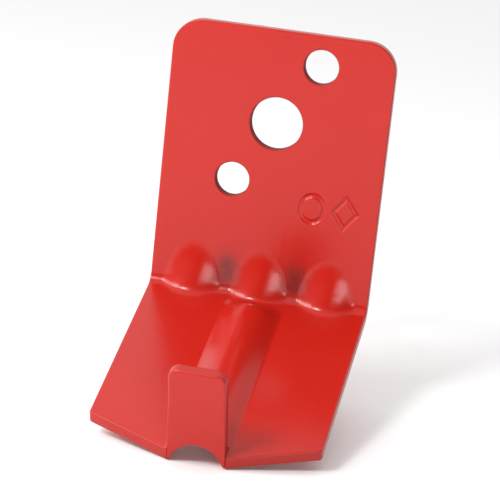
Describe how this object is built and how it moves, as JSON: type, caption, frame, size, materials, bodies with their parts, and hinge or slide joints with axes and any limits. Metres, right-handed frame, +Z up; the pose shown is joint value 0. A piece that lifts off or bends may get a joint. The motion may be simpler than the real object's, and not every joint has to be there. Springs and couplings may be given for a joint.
{
  "type": "fire extinguisher wall bracket",
  "caption": "Pressed steel wall bracket: a drilled plate, a gusseted bend and a sloping ridged shelf that ends in an upright tongue to hang a portable fire extinguisher.",
  "frame": {"origin": "on the axis of the centre hole, on the plate's back face, which lies on the wall", "axes": "+Z up the wall, +Y into the wall, +X to the right of a person facing the bracket"},
  "size_m": [0.0636, 0.0806, 0.105],
  "materials": {
    "red_paint": "glossy red enamel over pressed steel"
  },
  "bodies": {
    "root": {"bracket": "red_paint"}
  },
  "joints": []
}
